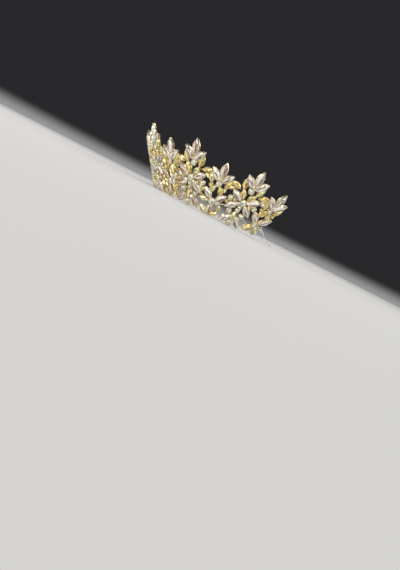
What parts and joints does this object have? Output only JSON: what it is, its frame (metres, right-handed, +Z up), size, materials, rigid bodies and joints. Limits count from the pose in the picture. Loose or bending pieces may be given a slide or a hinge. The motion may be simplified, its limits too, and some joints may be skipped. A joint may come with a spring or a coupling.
{
  "type": "bridal crown",
  "caption": "Open half-ring bridal crown with alternating tall and short leaf peaks, pierced wall of cut stones in soldered gold cups, and a clear tie thread.",
  "frame": {"origin": "centre of the crown's bounding box on the surface it stands on, the thread left out", "axes": "+Z up, -Y out of the crown's front, +X towards the wearer's left"},
  "size_m": [0.2142, 0.1745, 0.0564],
  "materials": {
    "crown_frame": "polished light gold, carrying clear and jonquil foil-backed stones",
    "clear_stone": "cut foil-backed glass, clear with a faint champagne tint",
    "tie_thread": "clear smooth nylon thread"
  },
  "bodies": {
    "root": {"crown_frame": "crown_frame", "peak_01_stone_left": "clear_stone", "peak_01_stone_middle": "clear_stone", "peak_01_stone_right": "clear_stone", "peak_02_stone_left": "clear_stone", "peak_02_stone_middle": "clear_stone", "peak_02_stone_right": "clear_stone", "peak_03_stone_left": "clear_stone", "peak_03_stone_middle": "clear_stone", "peak_03_stone_right": "clear_stone", "peak_04_stone_left": "clear_stone", "peak_04_stone_middle": "clear_stone", "peak_04_stone_right": "clear_stone", "peak_05_stone_left": "clear_stone", "peak_05_stone_middle": "clear_stone", "peak_05_stone_right": "clear_stone", "peak_06_stone_left": "clear_stone", "peak_06_stone_middle": "clear_stone", "peak_06_stone_right": "clear_stone", "peak_07_stone_left": "clear_stone", "peak_07_stone_middle": "clear_stone", "peak_07_stone_right": "clear_stone", "peak_08_stone_left": "clear_stone", "peak_08_stone_middle": "clear_stone", "peak_08_stone_right": "clear_stone", "peak_09_stone_left": "clear_stone", "peak_09_stone_middle": "clear_stone", "peak_09_stone_right": "clear_stone", "peak_10_stone_left": "clear_stone", "peak_10_stone_middle": "clear_stone", "peak_10_stone_right": "clear_stone", "peak_11_stone_left": "clear_stone", "peak_11_stone_middle": "clear_stone", "peak_11_stone_right": "clear_stone", "tie_thread": "tie_thread"}
  },
  "joints": []
}
